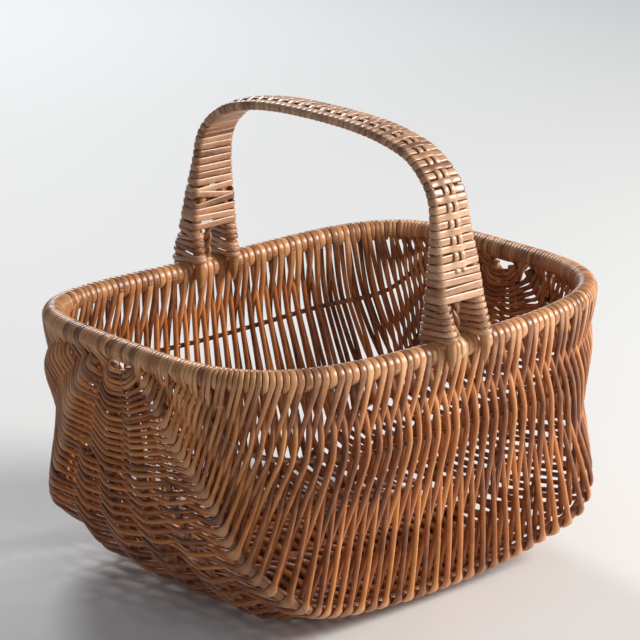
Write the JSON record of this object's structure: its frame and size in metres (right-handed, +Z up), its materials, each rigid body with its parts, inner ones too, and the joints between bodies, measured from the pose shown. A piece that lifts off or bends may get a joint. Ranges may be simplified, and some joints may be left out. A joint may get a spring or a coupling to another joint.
{
  "type": "woven market basket",
  "caption": "Oblong willow market basket with a boat-shaped woven body, a wrapped rim hoop and a broad wrapped bow handle fixed over its middle.",
  "frame": {"origin": "middle of the flat patch that the basket stands on, under the middle of the bow handle", "axes": "+X along the basket's length, +Y across it from the near long side to the far one, +Z up"},
  "size_m": [0.4166, 0.3184, 0.3623],
  "materials": {
    "rim": "peeled willow rod under clear varnish",
    "rim_wrapping": "satin varnished willow, buffed over the top of the rim",
    "ribs": "varnished willow rod",
    "weave": "glossy varnished buff willow with brown streaks",
    "handle_rods": "varnished willow rod with pale cut ends",
    "handle_wrapping": "flat split willow, satin varnish"
  },
  "bodies": {
    "root": {"rim_hoop": "rim", "rim_wrap_near_left": "rim_wrapping", "rim_wrap_near_right": "rim_wrapping", "rim_wrap_right_end": "rim_wrapping", "rim_wrap_far_right": "rim_wrapping", "rim_wrap_far_left": "rim_wrapping", "rim_wrap_left_end": "rim_wrapping", "rib_mid_near": "ribs", "rib_mid_far": "ribs", "rib_edge_near": "ribs", "rib_edge_far": "ribs", "rib_insert_near": "ribs", "rib_insert_far": "ribs", "rib_base_near": "ribs", "rib_base_far": "ribs", "weave_band_01": "weave", "weave_band_02": "weave", "weave_band_03": "weave", "weave_band_04": "weave", "weave_band_05": "weave", "weave_band_06": "weave", "weave_band_07": "weave", "weave_band_08": "weave", "weave_band_09": "weave", "weave_band_10": "weave", "weave_band_11": "weave", "weave_band_12": "weave", "weave_band_13": "weave", "weave_fan_left": "weave", "weave_fan_right": "weave", "handle_rod_outer_left": "handle_rods", "handle_rod_outer_right": "handle_rods", "handle_rod_inner_left": "handle_rods", "handle_rod_inner_right": "handle_rods", "foot_twist_near": "handle_rods", "foot_twist_far": "handle_rods", "handle_wrap": "handle_wrapping", "handle_leader_left": "handle_wrapping", "handle_leader_right": "handle_wrapping", "foot_wrap_near_left": "handle_wrapping", "foot_wrap_near_right": "handle_wrapping", "foot_wrap_far_left": "handle_wrapping", "foot_wrap_far_right": "handle_wrapping"}
  },
  "joints": []
}
